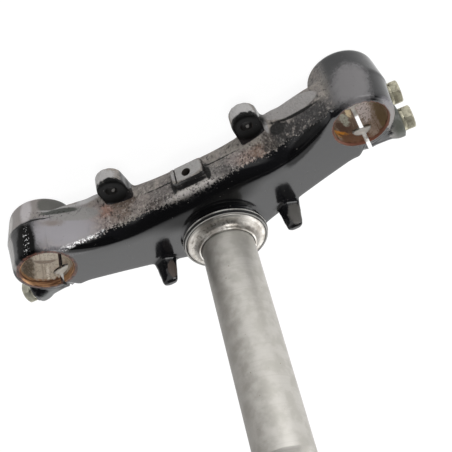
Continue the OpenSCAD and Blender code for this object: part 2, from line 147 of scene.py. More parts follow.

# Patches over the paint, each over the last: colour, centre and size in mm, turn about Y and Z in
# degrees, softness, raggedness, roughness, shine. Most are painted light: the near-black bands are
# painted reflections and painted shade, the pale greys painted sheen and highlights. The rest, such
# as the stops' rubbed pads, are wear.
PATCHES_AND_PAINTED_LIGHT = (
    # Painted reflections in near-black: the seal mirrored in the top face in front of it
    ("#0b0b0c", (2, -34, 0), (48, 8, 5), (0, 0), 0.5, 0.2, 0.13, 0.12),
    ("#0b0b0c", (0, -26, 0), (27, 9, 5), (0, 0), 0.4, 0.1, 0.13, 0.12),
    # Painted sheen in pale grey on the smooth left wall
    ("#8b888c", (75, -48, -11.5), (17, 12, 11.5), (0, -30), 0.45, 1.3, 0.40, 0.5),
    ("#7f7d7b", (67, -47, -18), (15, 8, 3.5), (10, -20), 0.2, 1.0, 0.45, 0.5),
    ("#756d69", (79, -51, -16), (6, 5, 2.0), (12, 0), 0.6, 2.6, 0.45, 0.5),
    # Painted reflections in near-black along both arms' top edges and down the left barrel's front
    ("#0b0b0c", (64, -38, -0.4), (17, 3.4, 3.2), (-4, -20), 0.25, 0.8, 0.13, 0.12),
    ("#0b0b0c", (-64, -38, -1.6), (17, 4.4, 5.2), (-3, 32), 0.2, 0.9, 0.13, 0.12),
    ("#060606", (95.2, -55, -6), (5.9, 9, 17), (4, 0), 0.15, 1.0, 0.22, 0.08),
    # Left barrel's lower half and the left arm's foot: grey-brown, with pale strips and ridge lines
    # as painted highlights and dark bands as painted reflections and painted shade
    ("#7f7976", (96, -51, -31.2), (22, 12, 10.8), (0, 0), 0.05, 0.3, 0.45, 0.5),
    ("#aaa5a6", (93, -55, -30), (3.4, 6, 9.6), (0, 0), 0.35, 0.7, 0.40, 0.5),
    ("#a9a6a2", (105, -50, -27), (2.2, 6, 8), (0, 0), 0.3, 0.4, 0.40, 0.5),
    ("#131212", (93, -54, -20.3), (14, 8, 0.55), (0, 0), 0.3, 2.2, 0.40, 0.1),
    ("#565551", (79, -47, -31), (9.5, 9, 8.5), (0, 0), 0.12, 0.6, 0.40, 0.3),
    ("#92908f", (74, -50, -24.4), (12, 8, 0.9), (11, 0), 0.4, 2.4, 0.35, 0.5),
    ("#41433f", (75, -50, -22.4), (11, 8, 1.6), (11, 0), 0.2, 0.9, 0.35, 0.3),
    ("#a6a4a4", (55, -49, -23.5), (8, 6, 2.2), (0, 0), 0.3, 1.8, 0.40, 0.5),
    ("#999795", (107, -48, -11), (3.2, 7, 12), (0, 0), 0.3, 0.3, 0.40, 0.5),
    # Right arm: a pale ledge at its foot, and painted shade in a dark spot by the boss and along the
    # crease
    ("#8f8c8a", (-64, -48, -20.9), (17, 9, 4.6), (9, 0), 0.06, 0.6, 0.45, 0.5),
    ("#8f8d8c", (-48.7, -46, -18), (1.1, 4, 4), (0, 0), 0.3, 0.5, 0.45, 0.5),
    ("#1b1a19", (-54, -44, -14.6), (4.5, 4, 3.0), (0, 0), 0.15, 0.8, 0.30, 0.3),
    ("#121110", (-66, -47, -15.6), (16, 6, 0.8), (9, 0), 0.3, 0.9, 0.30, 0.2),
    # Painted shade along the middle's crease, and a painted shadow under the tab
    ("#151413", (-3, -40, -16), (30, 5, 0.5), (0, 0), 0.3, 2.2, 0.40, 0.2),
    ("#0d0c0c", (0, -41, -8.9), (11, 4, 1.0), (0, 0), 0.3, 1.2, 0.30, 0.2),
    # Painted reflections in grey on the right barrel's front and on the land beside its bore
    ("#676566", (-97, -52, -12), (10, 6, 14), (0, 0), 0.3, 1.2, 0.40, 0.5),
    ("#77757a", (-110.5, -32, 0), (4.5, 15, 3), (0, 0), 0.4, 0.5, 0.30, 0.5),
    ("#85817f", (-110, -26, 0), (6, 15, 2.4), (0, 0), 0.3, 4.2, 0.45, 0.5),
    ("#50524c", (-113, -17, -6), (6, 9, 13), (0, 0), 0.4, 1.6, 0.40, 0.4),
    ("#5a5c5b", (107, -12, -2), (8, 5, 9), (0, 0), 0.4, 1.2, 0.35, 0.5),
    # Painted shade at both sides of the tab
    ("#151413", (9.8, -41, -12), (1.8, 4, 4.6), (0, 0), 0.2, 1.2, 0.30, 0.2),
    ("#151413", (-10.4, -41, -11), (1.5, 4, 4.6), (0, 0), 0.2, 1.2, 0.30, 0.2),
    ("#92908e", (0, -45, -15), (10, 1.6, 6), (0, 0), 0.1, 0.2, 0.40, 0.5),
    ("#463c36", (34.2, -1.4, 8.5), (2.6, 2.6, 5.6), (0, 0), 0.15, 0.8, 0.50, 0.5),
    ("#4f4d4a", (-42.3, -1.6, 8.6), (4.2, 3.0, 6.4), (0, 0), 0.2, 1.6, 0.50, 0.5),
)

# The same for patches that both sides have, with x measured outwards: the bosses' front sides, worn
# pale grey with painted sheen, painted reflections on their black tops and painted shade behind them
PAIRED_WEAR_AND_PAINTED_LIGHT = (
    ("#a3a1a0", (41, -61, -22), (9, 5, 5), (0, 0), 0.2, 3.2, 0.35, 0.5),
    # Painted reflections and painted shade on and behind the bosses
    ("#0b0b0b", (40.4, -56, -17.2), (9.5, 9, 2.2), (0, 0), 0.2, 3.0, 0.30, 0.08),
    ("#060606", (40.4, -53, -16.2), (8.4, 10, 1.0), (0, 0), 0.1, 0.2, 0.30, 0.08),
    ("#060606", (40.4, -48, -21), (9.5, 4.5, 7), (0, 0), 0.2, 0.4, 0.30, 0.08),
)

# Stains and painted light on the bored iron, each over the last: colour, centre and size in mm. The
# near-white ones are painted highlights. The right one's last five are painted shade in the two boss
# holes, a painted glint on each one's thread, and painted shade in the tab's hole.
BORE_STAINS_AND_PAINTED_LIGHT = {
    "left": (
        ("#7b7164", (107.8, -33, -12), (2.4, 6, 16)),
        ("#a3968a", (102, -24, -17.3), (8, 5, 1.2)),
        # Painted highlight in near-white
        ("#f7f1e6", (100.9, -22.5, -9), (0.8, 3, 5)),
        ("#8d7765", (103, -25, -35), (12, 8, 6)),
    ),
    "right": (
        ("#6d5140", (-85, -25, -13), (5, 5, 5)),
        ("#c4c6b6", (-86.6, -23, -19.0), (2.6, 3, 4.4)),
        ("#857252", (-106, -27, -10), (4, 6, 14)),
        # Painted highlight in near-white
        ("#e0d6d2", (-98.2, -21.2, -22), (3.8, 3, 9.5)),
        ("#f4a63c", (-83.2, -26, -6.6), (5.2, 6, 2.6)),
        ("#7b5230", (-83.6, -25.5, -6.2), (4.5, 6, 0.7)),
        ("#a08a4a", (-84.5, -24.5, -4.4), (3.4, 5, 1.2)),
        # Painted highlight in near-white
        ("#f6e2ba", (-90, -21.5, -26), (1.5, 3, 6)),
        ("#7b5841", (-88, -23, -3), (8, 9, 5.5)),
        # Painted shade in the boss holes, a painted glint on each one's thread, painted shade in the
        # tab's hole
        ("#1b1917", (-40.4, -53.6, -21), (7, 7, 8)),
        ("#1b1917", (40.4, -53.6, -21), (7, 7, 8)),
        ("#aaa7a3", (-40.4, -50.6, -19), (1.0, 1.2, 1.2)),
        ("#aaa7a3", (40.4, -50.6, -19), (1.0, 1.2, 1.2)),
        ("#3c3733", (0, -42, -13.6), (6, 12, 6)),
    ),
}


def linear(code):
    """An sRGB hex value such as "#7f7f7f" as Blender's linear red, green and blue."""
    parts = [int(code[i:i + 2], 16) / 255 for i in (1, 3, 5)]
    return tuple(v / 12.92 if v <= 0.04045 else ((v + 0.055) / 1.055) ** 2.4 for v in parts)


def add(tree, kind, inputs=None, **settings):
    """Adds a node, with its settings, and its inputs as values or as sockets to link from."""
    node = tree.nodes.new(kind)
    for key, value in settings.items():
        setattr(node, key, value)
    for key, value in (inputs or {}).items():
        if isinstance(value, bpy.types.NodeSocket):
            tree.links.new(value, node.inputs[key])
        elif node.inputs[key].type == "RGBA":
            node.inputs[key].default_value = (*value, 1.0)
        else:
            node.inputs[key].default_value = value
    return node


# Modelling helpers

def only(*objects):
    """Selects these objects and nothing else; the first is the active one."""
    bpy.ops.object.select_all(action="DESELECT")
    for o in objects:
        o.select_set(True)
    bpy.context.view_layer.objects.active = objects[0]


def copy_of(node, name):
    """A copy of a CAD node's mesh, with its loose triangles merged, as a new piece."""
    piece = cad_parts[node].copy()
    piece.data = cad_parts[node].data.copy()
    piece.name = piece.data.name = name
    piece.parent = None
    for key in list(piece.keys()):
        if key.startswith("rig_"):
            del piece[key]
    piece.data.materials.clear()
    bpy.context.scene.collection.objects.link(piece)
    piece.hide_render = piece.hide_viewport = False
    only(piece)
    bpy.ops.object.mode_set(mode="EDIT")
    bpy.ops.mesh.select_all(action="SELECT")
    bpy.ops.mesh.remove_doubles(threshold=WELD)
    bpy.ops.mesh.normals_make_consistent(inside=False)
    bpy.ops.object.mode_set(mode="OBJECT")
    return piece


def settle(piece):
    """Puts a piece's place, turn and scale into its mesh."""
    mirrored = piece.matrix_world.determinant() < 0
    only(piece)
    bpy.ops.object.transform_apply(location=True, rotation=True, scale=True)
    if mirrored:
        bpy.ops.object.mode_set(mode="EDIT")
        bpy.ops.mesh.select_all(action="SELECT")
        bpy.ops.mesh.normals_make_consistent(inside=False)
        bpy.ops.object.mode_set(mode="OBJECT")
    return piece


def rod(radius, start, end, turn=Matrix.Identity(4), top_radius=None, sides=96):
    """A round bar or cone between two points in mm, placed by turn. It is a tool or a plug."""
    a, b = Vector(start) * MM, Vector(end) * MM
    axis = b - a
    if top_radius is None:
        top_radius = radius
    bpy.ops.object.select_all(action="DESELECT")
    bpy.ops.mesh.primitive_cone_add(vertices=sides, radius1=radius * MM, radius2=top_radius * MM,
                                    depth=axis.length, location=(0, 0, 0))
    tool = bpy.context.object
    along = axis.to_track_quat("Z", "Y").to_matrix().to_4x4()
    tool.matrix_world = turn @ Matrix.Translation((a + b) / 2) @ along
    return settle(tool)


def block(low, high, turn=Matrix.Identity(4)):
    """A box between two corners in mm, placed by turn. It is a tool or a plug."""
    low, high = Vector(low) * MM, Vector(high) * MM
    bpy.ops.object.select_all(action="DESELECT")
    bpy.ops.mesh.primitive_cube_add(size=1, location=(0, 0, 0))
    tool = bpy.context.object
    size = high - low
    tool.matrix_world = turn @ Matrix.Translation((low + high) / 2) @ Matrix.Diagonal((*size, 1))
    return settle(tool)


def merge(piece, *others):
    """Joins others into piece, as overlapping shells."""
    only(piece, *others)
    bpy.ops.object.join()
    return piece


def modify(piece, kind, **settings):
    """Adds a modifier and applies it."""
    only(piece)
    modifier = piece.modifiers.new(kind.title(), kind)
    for key, value in settings.items():
        setattr(modifier, key, value)
    bpy.ops.object.modifier_apply(modifier=modifier.name)
    return piece


def cut(piece, tool, material=None):
    """Cuts tool's shape out of piece; the cut faces take the tool's material."""
    if material is not None:
        tool.data.materials.clear()
        tool.data.materials.append(material)
    modify(piece, "BOOLEAN", operation="DIFFERENCE", solver="MANIFOLD", object=tool)
    bpy.data.objects.remove(tool)
    return piece


def shade(piece):
    """Shades a piece smooth between its sharp edges."""
    only(piece)
    bpy.ops.object.shade_smooth_by_angle(angle=SMOOTH_BELOW)
    return piece


def soften(piece, width):
    """Breaks a piece's sharp edges by width in mm, and shades it smooth between them."""
    modify(piece, "BEVEL", width=width * MM, segments=2, limit_method="ANGLE",
           angle_limit=SHARP_ABOVE, harden_normals=False)
    return shade(piece)


def at_clamp(side):
    """The CAD's clamp frame: z along the fork leg, x outboard."""
    place = Matrix.Translation(Vector((SIDES[side] * CLAMP_X, CLAMP_Y, 0)) * MM)
    return place @ Matrix.Diagonal((SIDES[side], 1, 1, 1))


def at_bolt(side, level):
    """The CAD's bolt frame: z along the bolt towards its head."""
    return (at_clamp(side) @ Matrix.Rotation(math.radians(BOLT_TILT), 4, "Z")
            @ Matrix.Translation(Vector((0, BOLT_DIST, BOLT_Z[level])) * MM)
            @ Matrix.Rotation(math.radians(90), 4, "Y"))


def coat(piece, material):
    """Gives a piece this material and no other."""
    piece.data.materials.clear()
    piece.data.materials.append(material)


def finish_piece(piece, slot, *nodes):
    """Puts a piece on the object in place of its CAD nodes."""
    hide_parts(*nodes)
    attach(piece, "root")
    return piece


# Materials

def new_material(name):
    material = bpy.data.materials.new(name)
    material.use_nodes = True
    tree = material.node_tree
    tree.nodes.clear()
    return material, tree


def millimetres(tree):
    """The piece's own coordinates, in millimetres."""
    own = add(tree, "ShaderNodeTexCoord").outputs["Object"]
    scaled = add(tree, "ShaderNodeMapping", {"Vector": own, "Scale": (PER_M, PER_M, PER_M)})
    return scaled.outputs["Vector"]


def split(tree, vector):
    """A vector's X, Y and Z sockets, by name."""
    return add(tree, "ShaderNodeSeparateXYZ", {"Vector": vector}).outputs


def grain(tree, where, size, detail=4.0, rough=0.55, stretch=None):
    """Fractal noise whose lumps are about size mm across, 0 to 1."""
    if stretch:
        where = add(tree, "ShaderNodeMapping", {"Vector": where, "Scale": stretch}).outputs["Vector"]
    return add(tree, "ShaderNodeTexNoise", {"Vector": where, "Scale": 1 / size, "Detail": detail,
                                            "Roughness": rough}).outputs["Fac"]


def between(tree, value, low, high, out_low=0.0, out_high=1.0):
    """value eased from low..high to out_low..out_high."""
    return add(tree, "ShaderNodeMapRange", {"Value": value, "From Min": low, "From Max": high,
                                            "To Min": out_low, "To Max": out_high},
               interpolation_type="SMOOTHSTEP").outputs["Result"]


def calc(tree, operation, a, b=0.0):
    return add(tree, "ShaderNodeMath", {0: a, 1: b}, operation=operation).outputs["Value"]


def chain(tree, operation, values):
    """The values joined by one operation, from the left."""
    result = values[0]
    for value in values[1:]:
        result = calc(tree, operation, result, value)
    return result


def times(tree, *values):
    return chain(tree, "MULTIPLY", values)


def plus(tree, *values):
    return chain(tree, "ADD", values)


def minus(tree, *values):
    return chain(tree, "SUBTRACT", values)


def swing(tree, noise, size):
    """A noise's swing about its middle, as a number from about -size/2 to size/2."""
    return times(tree, minus(tree, noise, 0.5), size)


def spot(tree, where, ragged, centre, size, turn=(0, 0), soft=0.2, rag=0.6):
    """Mask of a worn spot: an ellipsoid round centre, size mm each way, with a ragged edge."""
    turn = (0, math.radians(turn[0]), math.radians(turn[1]))
    local = add(tree, "ShaderNodeMapping", {"Vector": where, "Location": centre, "Scale": size,
                                            "Rotation": turn}, vector_type="TEXTURE")
    away = add(tree, "ShaderNodeVectorMath", {0: local.outputs["Vector"]}, operation="LENGTH")
    away = plus(tree, away.outputs["Value"], swing(tree, ragged, rag))
    return between(tree, away, 1 + soft, 1 - soft)


def layer(tree, under, over, mask):
    """over laid on under where mask is 1; colours as tuples or sockets."""
    return add(tree, "ShaderNodeMix", {0: mask, 6: under, 7: over}, data_type="RGBA").outputs[2]


def blend(tree, under, over, mask):
    """Number over laid on number under where mask is 1."""
    return add(tree, "ShaderNodeMix", {0: mask, 2: under, 3: over}, data_type="FLOAT").outputs[0]


def surface(tree, colour, roughness, height, metallic=0.0, lift=0.2, **fixed):
    """The shader, with a bump of height times lift mm, and its output."""
    bump = add(tree, "ShaderNodeBump", {"Height": height, "Distance": lift * MM, "Strength": 1.0})
    inputs = {"Base Color": colour, "Roughness": roughness, "Metallic": metallic,
              "Normal": bump.outputs["Normal"]}
    inputs.update(fixed)
    shader = add(tree, "ShaderNodeBsdfPrincipled", inputs)
    add(tree, "ShaderNodeOutputMaterial", {"Surface": shader.outputs["BSDF"]})


def peeling(tree, xyz, ragged, speck):
    """Mask of the peeled front wall, and how many mm below the paint's edge a point lies."""
    x = xyz["X"]
    # The edge is at the flat top by the left clamp, lower along the arms, and rises at the right one
    edge = plus(tree, between(tree, x, 74, 52, -0.4, -5.8), between(tree, x, 38, 0, 0, 3.0),
                between(tree, x, 5, -45, 0, -4.2), between(tree, x, -58, -86, 0, 4.5))
    depth = plus(tree, minus(tree, edge, xyz["Z"]), swing(tree, ragged, 6.0), swing(tree, speck, 8.0))
    facing = split(tree, add(tree, "ShaderNodeNewGeometry").outputs["Normal"])
    front = times(tree, between(tree, xyz["Y"], -26, -30), between(tree, facing["Y"], -0.15, -0.4),
                  between(tree, calc(tree, "ABSOLUTE", x), 90, 82))
    return times(tree, front, between(tree, depth, -0.15, 0.5)), depth


def peeled_iron(tree, p, broad, mid, speck, ragged, depth):
    """Grey primer and brown cast iron, tinted by place, pitted dark and rubbed bright: its colour,
    and the mask of the rubbed spots."""
    x = split(tree, p)["X"]
    iron = layer(tree, linear("#79736f"), linear("#868079"), between(tree, broad, 0.42, 0.6))
    for tint, centre, size, rag in BARE_TINTS:
        mask = spot(tree, p, ragged, centre, size, soft=0.4, rag=rag)
        iron = layer(tree, iron, linear(tint), mask)
    iron = layer(tree, iron, linear("#a19992"), between(tree, mid, 0.56, 0.66, 0, 0.5))
    # The contrast is strongest near the paint's edge, and fades on the smooth left arm
    coarse = times(tree, between(tree, grain(tree, p, 5), 0.40, 0.56, 0.3, 1.0),
                   between(tree, depth, 9, 2, 0.45, 1.0), between(tree, x, 62, 44, 0.25, 1.0))
    pits = times(tree, between(tree, speck, 0.50, 0.40), coarse)
    iron = layer(tree, iron, linear("#1b1918"), pits)
    iron = layer(tree, iron, linear("#2a2624"), between(tree, mid, 0.43, 0.36, 0, 0.8))
    rubbed = times(tree, between(tree, speck, 0.55, 0.65), coarse)
    bright = times(tree, rubbed, between(tree, x, -52, -40, 0.3, 0.7))
    return layer(tree, iron, linear("#c6c1bb"), bright), rubbed


def rust_ring(tree, xyz, mid):
    """Mask of the ring of rust on the land round each fork bore, wider on the left."""
    out = minus(tree, calc(tree, "ABSOLUTE", xyz["X"]), CLAMP_X)
    fore = minus(tree, xyz["Y"], CLAMP_Y)
    away = calc(tree, "SQRT", plus(tree, times(tree, out, out), times(tree, fore, fore)))
    away = plus(tree, away, swing(tree, mid, 1.6))
    edge = between(tree, xyz["X"], -10, 10, BORE_R + 0.7, BORE_R + 2.0)
    return between(tree, minus(tree, away, edge), 0.7, 0)


def worn_enamel(look):
    """Gloss black chassis enamel sprayed over sand-cast iron: sound on top, peeled to primer and
    iron along the front wall, rusty at bare edges, with painted reflections, sheen, glints and shade
    laid on as patches."""
    material, tree = new_material("gloss_enamel_on_casting")
    p = millimetres(tree)
    broad = grain(tree, p, 9)
    mid = grain(tree, p, 2.2)
    speck = grain(tree, p, 1.2, detail=3.0, rough=0.75)
    ragged = plus(tree, times(tree, broad, 0.4), times(tree, mid, 0.3), times(tree, speck, 0.3))
    xyz = split(tree, p)
    x = xyz["X"]

    peel, depth = peeling(tree, xyz, ragged, speck)
    iron, rubbed = peeled_iron(tree, p, broad, mid, speck, ragged, depth)
    colour = layer(tree, tuple(look.paint), iron, peel)
    rough = blend(tree, look.gloss, blend(tree, 0.6, 0.35, rubbed), peel)
    shine = 0.5

    # Patches on the surface, most of them painted reflections, painted sheen and painted shade.
    # Cycles can hold only so many values at once in one shader: with a few more patches than these,
    # or a bump that draws on them, the whole casting turns black.
    outward = add(tree, "ShaderNodeCombineXYZ", {"X": calc(tree, "ABSOLUTE", x), "Y": xyz["Y"],
                                                 "Z": xyz["Z"]}).outputs["Vector"]
    for where, patches in ((p, PATCHES_AND_PAINTED_LIGHT), (outward, PAIRED_WEAR_AND_PAINTED_LIGHT)):
        for tint, centre, size, turn, soft, rag, dull, gleam in patches:
            mask = spot(tree, where, ragged, centre, size, turn, soft, rag)
            colour = layer(tree, colour, linear(tint), mask)
            rough = blend(tree, rough, dull, mask)
            shine = blend(tree, shine, gleam, mask)

    # Chips through to black along the left clamp's ledge and parting line
    ledge = spot(tree, p, ragged, (80, -49, -22.6), (19, 9, 3.6), (9, 0), 0.5, 1.0)
    parting = spot(tree, p, ragged, (99, -54, -19.6), (10, 9, 1.8), (0, 0), 0.5, 1.0)
    chipped = times(tree, calc(tree, "MAXIMUM", ledge, parting), between(tree, speck, 0.44, 0.38))
    colour = layer(tree, colour, linear("#191817"), chipped)

    # Painted glints in white: specks along the left arm's top edge and down the black barrel's front
    painted_edge_glints = spot(tree, p, ragged, (66, -42, -3.3), (12, 6, 1.1), (-14, -20), 0.4, 0.8)
    painted_edge_glints = times(tree, painted_edge_glints, between(tree, speck, 0.50, 0.55))
    painted_barrel_glints = spot(tree, p, ragged, (94.4, -55, -8), (2.0, 6, 11), (4, 0), 0.3, 0.8)
    painted_barrel_glints = times(tree, painted_barrel_glints, between(tree, speck, 0.58, 0.64, 0, 0.7))
    colour = layer(tree, colour, linear("#ffffff"), calc(tree, "MAXIMUM", painted_edge_glints, painted_barrel_glints))

    ring = rust_ring(tree, xyz, mid)
    rust = layer(tree, linear("#5f4036"), linear("#33231d"), between(tree, mid, 0.42, 0.58))
    colour = layer(tree, colour, rust, ring)
    rough = blend(tree, rough, 0.6, ring)

    # Dust specks and small chips in the sound paint
    chip = between(tree, grain(tree, p, 1.3, detail=1.0), 0.755, 0.775)
    colour = layer(tree, colour, linear("#5d5a57"), chip)

    # The bare iron lies lower and is rough, but not on the smooth left arm
    bare = times(tree, peel, between(tree, x, 66, 54))
    height = times(tree, bare, minus(tree, plus(tree, mid, speck), 1.6))
    height = minus(tree, height, times(tree, chip, 0.3))
    height = plus(tree, height, times(tree, grain(tree, p, 3.5, detail=1.0), 0.05))
    surface(tree, colour, rough, height, lift=0.8, **{"Specular IOR Level": shine})
    return material


def bored_iron(side, pale, dark, rim, deep, shine):
    """Bored cast iron where a fork leg sat: greased and bright on the left, where its pale colour is
    partly painted light for the bore's shaded inside; rusted on the right. A rim of rust reaches
    about deep mm down from the top."""
    material, tree = new_material("bored_iron_" + side)
    p = millimetres(tree)
    rings = grain(tree, p, 1.5, stretch=(0.1, 0.1, 1.0))
    streaks = grain(tree, p, 3.0, stretch=(1.0, 1.0, 0.12))
    mid = grain(tree, p, 2.2)
    xyz = split(tree, p)
    colour = layer(tree, linear(pale), linear(dark), between(tree, streaks, 0.48, 0.62))
    for tint, centre, size in BORE_STAINS_AND_PAINTED_LIGHT[side]:
        mask = spot(tree, p, mid, centre, size, soft=0.25, rag=1.2)
        colour = layer(tree, colour, linear(tint), mask)
    specks = times(tree, between(tree, grain(tree, p, 1.1), 0.52, 0.62, 0, 0.7),
                   between(tree, calc(tree, "ABSOLUTE", xyz["X"]), 60, 70))
    colour = layer(tree, colour, linear(dark), specks)
    near = plus(tree, xyz["Z"], swing(tree, mid, 6))
    rust = layer(tree, linear(rim), linear("#5a3a28"), between(tree, rings, 0.44, 0.60))
    colour = layer(tree, colour, rust, between(tree, near, -deep - 2, -deep))
    surface(tree, colour, blend(tree, 0.3, 0.55, mid), mid, metallic=shine, lift=0.08)
    return material


def bright_steel(name, colour, stain, roughness, metallic=1.0, dull=0.0, track=False):
    """Turned and ground steel with fine turning rings, stained by old grease. dull greys it towards
    its left in the camera's view as painted shade, and track adds the path that the balls have worn
    and painted shade at the stem."""
    material, tree = new_material(name)
    p = millimetres(tree)
    xyz = split(tree, p)
    flat = add(tree, "ShaderNodeCombineXYZ", {"X": xyz["X"], "Y": xyz["Y"]}).outputs["Vector"]
    radius = add(tree, "ShaderNodeVectorMath", {0: flat}, operation="LENGTH").outputs["Value"]
    turned = add(tree, "ShaderNodeCombineXYZ", {"X": radius, "Z": xyz["Z"]}).outputs["Vector"]
    rings = grain(tree, turned, 0.9, detail=3.0)
    broad = grain(tree, p, 7)
    spots = grain(tree, p, 1.6, detail=2.0)
    tint = layer(tree, linear(colour), linear(stain), between(tree, broad, 0.40, 0.64))
    tint = layer(tree, tint, linear(stain), between(tree, rings, 0.52, 0.66, 0, 0.5))
    tint = layer(tree, tint, linear("#6b5c4a"), between(tree, spots, 0.72, 0.78, 0, 0.7))
    # Painted shade: greyer towards the camera's left, by dull
    left = minus(tree, times(tree, xyz["X"], 0.89), times(tree, xyz["Y"], 0.4))
    left = plus(tree, left, swing(tree, broad, 8))
    tint = layer(tree, tint, linear("#6f6b66"), between(tree, left, 1, 15, 0, dull))
    if track:
        # The balls have greyed their track between two bright edges; painted shade darkens the
        # crevice at the stem
        worn = times(tree, between(tree, radius, *TRACK_INNER), between(tree, radius, *TRACK_OUTER))
        tint = layer(tree, tint, linear("#8a857e"), times(tree, worn, 0.45))
        pits = times(tree, between(tree, spots, 0.50, 0.64, 0, 0.6),
                     between(tree, left, -14, 4, 0.2, 1.0))
        tint = layer(tree, tint, linear("#4b463f"), times(tree, worn, pits))
        tint = layer(tree, tint, linear("#1f1d1b"), between(tree, radius, *STEM_GAP_SHADE))
    surface(tree, tint, blend(tree, roughness, roughness + 0.12, broad), rings,
            metallic=metallic, lift=0.012)
    return material


def moulded_rubber():
    """Black nitrile rubber, moulded, dull with a slight sheen and dust."""
    material, tree = new_material("moulded_rubber")
    p = millimetres(tree)
    mid = grain(tree, p, 1.5)
    colour = layer(tree, linear("#0c0c0c"), linear("#1d1c1b"), between(tree, mid, 0.5, 0.7))
    # Rubbed grey along the very top of the lip
    colour = layer(tree, colour, linear("#8d8b87"), between(tree, split(tree, p)["Z"], 4.86, 4.98))
    surface(tree, colour, 0.5, mid, lift=0.03)
    return material


def yellow_zinc():
    """Zinc-plated steel with a faded yellow passivation, greyed by age; greyer on the left-hand bolts
    as painted shade, and near white on the shanks as a partly painted highlight.
    """
    material, tree = new_material("faded_zinc_plate")
    p = millimetres(tree)
    mid = grain(tree, p, 2.5)
    fine = grain(tree, p, 0.5)
    colour = layer(tree, linear("#b9b5a0"), linear("#8f8a7a"), between(tree, mid, 0.42, 0.66))
    x = split(tree, p)["X"]
    # Painted shade: the bolts on the left are greyed
    colour = layer(tree, colour, linear("#a2a39b"), between(tree, x, 0, 10, 0, 0.4))
    # The shanks, out of the weather in the bores, are bright bare steel; their near-white, mostly
    # matt colour is partly a painted highlight
    shank = between(tree, calc(tree, "ABSOLUTE", x), 103.0, 101.5)
    colour = layer(tree, colour, linear("#f6f5f0"), shank)
    rough = blend(tree, blend(tree, 0.35, 0.55, mid), 0.3, shank)
    surface(tree, colour, rough, fine, metallic=blend(tree, 0.7, 0.25, shank), lift=0.03)
    return material


def matt_floor(look):
    """Matt paper; the camera and the gloss see it as nearly plain white."""
    material, tree = new_material("matt_floor")
    path = add(tree, "ShaderNodeLightPath").outputs
    seen = calc(tree, "MAXIMUM", path["Is Camera Ray"],
                calc(tree, "MAXIMUM", path["Is Glossy Ray"], path["Is Transmission Ray"]))
    matt = add(tree, "ShaderNodeBsdfDiffuse", {"Color": tuple(look.floor)}).outputs["BSDF"]
    white = add(tree, "ShaderNodeEmission", {"Color": (1, 1, 1), "Strength": WHITE})
    mixed = add(tree, "ShaderNodeMixShader", {0: times(tree, seen, WHITE_SHARE), 1: matt,
                                              2: white.outputs["Emission"]})
    add(tree, "ShaderNodeOutputMaterial", {"Surface": mixed.outputs["Shader"]})
    return material


# Settings that a user would change

class CastingLook(bpy.types.PropertyGroup):
    paint: bpy.props.FloatVectorProperty(
        name="Paint", description="Colour of the enamel", subtype="COLOR", size=3, min=0, max=1,
        default=linear("#121214"))
    gloss: bpy.props.FloatProperty(
        name="Paint roughness", description="Roughness of the sound enamel", default=0.13,
        min=0, max=1, subtype="FACTOR")
    voxel: bpy.props.FloatProperty(
        name="Skin detail", description="Size of the casting skin's facets, in metres",
        default=0.0009, min=0.0005, max=0.003, unit="LENGTH", precision=5)
    melt: bpy.props.IntProperty(
        name="Edge softness", description="How many times the cast skin is smoothed", default=8,
        min=0, max=30)


class StemLook(bpy.types.PropertyGroup):
    thread_pitch: bpy.props.FloatProperty(
        name="Thread pitch", description="Pitch of the nut thread, in metres", default=0.0015,
        min=0.001, max=0.002, unit="LENGTH", precision=5)
    edge: bpy.props.FloatProperty(
        name="Broken edges", description="Width of the broken edges of turned parts and bolts, in mm",
        default=0.25, min=0.05, max=0.5)


class StageLook(bpy.types.PropertyGroup):
    floor: bpy.props.FloatVectorProperty(
        name="Floor", description="Colour of the floor", subtype="COLOR", size=3, min=0, max=1,
        default=linear("#f2f2f2"))
    ambient: bpy.props.FloatProperty(
        name="Room light", description="Brightness of the pale room", default=0.75, min=0, max=2)
    key: bpy.props.FloatProperty(
        name="Key lamp", description="Power of the soft lamp at the camera's left", default=4.2,
        min=0, max=50, unit="POWER")
    fill: bpy.props.FloatProperty(
        name="Fill lamp", description="Power of the soft lamp above the camera", default=6.0,
        min=0, max=50, unit="POWER")


# Pieces

def casting_plugs():
    """Plugs for the CAD yoke's bores, slits and holes, so that one soft skin can go over it all."""
    plugs = [rod(STEM_R + PLUG_TIGHT, (0, 0, -BARREL_H), (0, 0, SEAT_H))]
    for side in SIDES:
        turn = at_clamp(side)
        plugs.append(rod(BORE_R + PLUG_BORE, (0, 0, -BARREL_H), (0, 0, 0), turn))
        half = SLIT_W / 2 + PLUG_SLIT
        plugs.append(block((-SLIT_INSET - half, BORE_R, -BARREL_H + PLUG_SLIT_FOOT),
                           (-SLIT_INSET + half, PLUG_SLIT_Y, PLUG_SLIT_TOP), turn))
        for level in LEVELS:
            plugs.append(rod(BOLT_HOLE_R + PLUG_HOLE, (0, 0, PLUG_BOLT_Z), (0, 0, EAR_REACH),
                             at_bolt(side, level)))
        x = SIDES[side] * BOSS_X
        plugs.append(rod(BOSS_HOLE_R + PLUG_HOLE, *((x, BOSS_Y, z) for z in PLUG_BOSS_Z)))
    plugs.append(block((TAB_GROOVE_X - PLUG_TIGHT, TAB_Y, TAB_FOOT_Z),
                       (TAB_GROOVE_X + TAB_GROOVE_W + PLUG_TIGHT, TAB_Y + PLUG_GROOVE_DEEP,
                        TAB_TOP_Z)))
    plugs.append(rod(TAB_HOLE_R + PLUG_TIGHT, (0, TAB_Y, TAB_HOLE_Z),
                     (0, TAB_Y + TAB_HOLE_DEPTH + OVER, TAB_HOLE_Z)))
    return plugs


